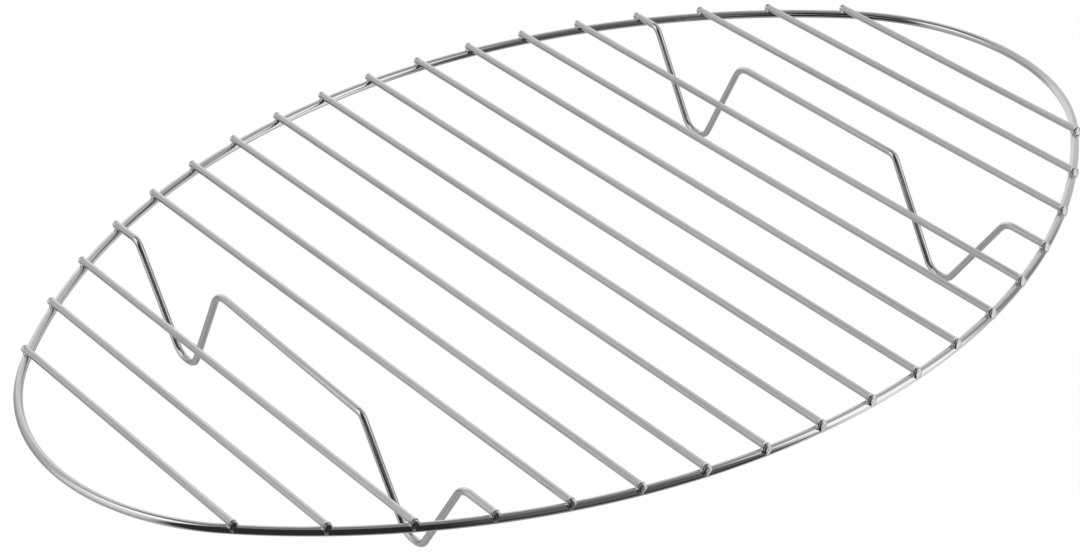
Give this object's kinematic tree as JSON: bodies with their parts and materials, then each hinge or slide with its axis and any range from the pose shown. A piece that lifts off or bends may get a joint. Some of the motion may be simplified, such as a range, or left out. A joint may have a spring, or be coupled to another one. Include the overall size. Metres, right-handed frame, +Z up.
{
  "type": "roasting rack",
  "caption": "Oval wire rack for roasting: parallel wires welded across an oval rim, with bent leg wires whose rounded feet hold it above the pan's floor.",
  "frame": {"origin": "bottom centre of the bounding box, on the surface that the four feet stand on, below the centre of the oval", "axes": "+X along the oval's long axis, +Y along the cross wires, +Z up"},
  "size_m": [0.3804, 0.2527, 0.0381],
  "materials": {
    "rim_steel": "polished stainless steel wire",
    "wire_steel": "satin drawn stainless steel wire"
  },
  "bodies": {
    "root": {"rim_wire": "rim_steel", "cross_wire_01": "wire_steel", "cross_wire_02": "wire_steel", "cross_wire_03": "wire_steel", "cross_wire_05": "wire_steel", "cross_wire_06": "wire_steel", "cross_wire_07": "wire_steel", "cross_wire_08": "wire_steel", "cross_wire_09": "wire_steel", "cross_wire_10": "wire_steel", "cross_wire_11": "wire_steel", "cross_wire_12": "wire_steel", "cross_wire_13": "wire_steel", "cross_wire_14": "wire_steel", "cross_wire_16": "wire_steel", "cross_wire_17": "wire_steel", "cross_wire_18": "wire_steel", "leg_wire_left": "wire_steel", "leg_wire_right": "wire_steel"}
  },
  "joints": []
}
